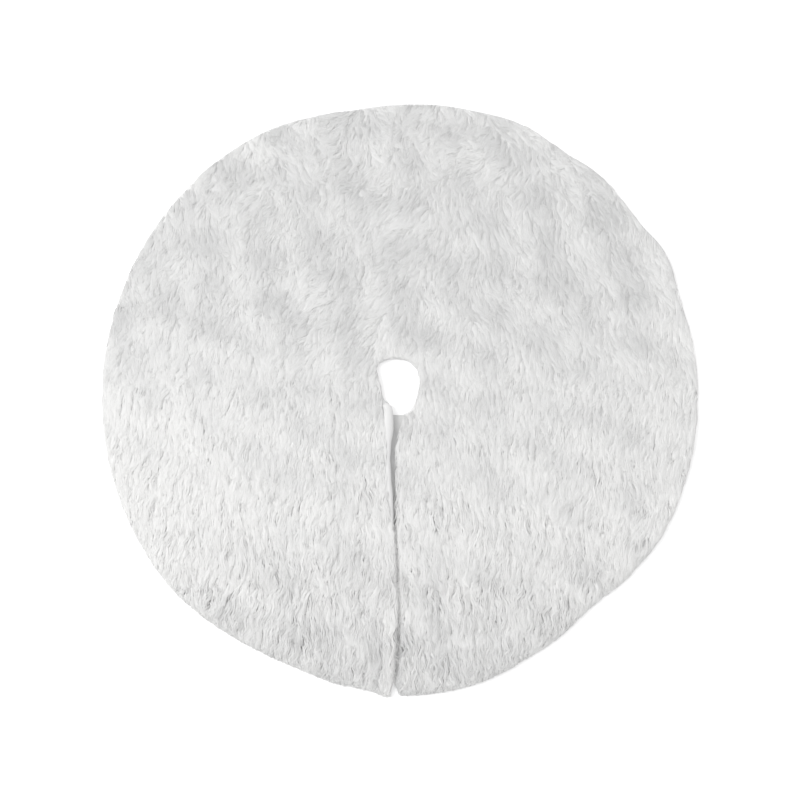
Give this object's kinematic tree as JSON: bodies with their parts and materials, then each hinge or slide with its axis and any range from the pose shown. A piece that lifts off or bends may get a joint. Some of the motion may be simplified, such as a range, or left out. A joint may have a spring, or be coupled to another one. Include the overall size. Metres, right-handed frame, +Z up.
{
  "type": "tree skirt",
  "caption": "Round white plush tree skirt laid flat, with a trunk hole and a slit whose overlapping edge folds back and closes on a placket with hook-and-loop tape.",
  "frame": {"origin": "on the trunk hole's axis, at the floor the skirt lies on", "axes": "+Z up; the slit runs from the trunk hole to the hem along -Y; +X is to the right of the slit seen from above with the slit nearest"},
  "size_m": [1.2199, 1.22, 0.017],
  "materials": {
    "plush": "long soft pile, matte with a faint sheen",
    "lining": "plain woven, matte",
    "edging": "smooth woven, matte",
    "thread": "spun thread, matte",
    "loop_tape": "brushed nylon loops",
    "hook_tape": "moulded nylon hooks"
  },
  "bodies": {
    "skirt": {"fur_panel": "plush", "lining_panel": "lining", "hem_seam_thread": "thread", "neck_seam_thread": "thread", "slit_seam_thread": "thread", "placket_strip": "edging", "placket_seam_thread": "thread", "loop_tape_upper": "loop_tape", "loop_tape_middle": "loop_tape", "loop_tape_lower": "loop_tape", "loop_tape_stitches": "thread"},
    "overlap_flap": {"fur_flap": "plush", "lining_flap": "lining", "flap_edge_facing": "edging", "flap_hem_seam_thread": "thread", "flap_neck_seam_thread": "thread", "flap_edge_seam_thread": "thread", "hook_tape_upper": "hook_tape", "hook_tape_middle": "hook_tape", "hook_tape_lower": "hook_tape", "hook_tape_stitches": "thread"}
  },
  "joints": [
    {"name": "flap_fold", "type": "hinge", "parent": "skirt", "child": "overlap_flap", "pos_m": [-0.051, 0, 0.0173], "axis": [-0.3746, -0.9272, 0], "range_deg": [0, 174]}
  ]
}
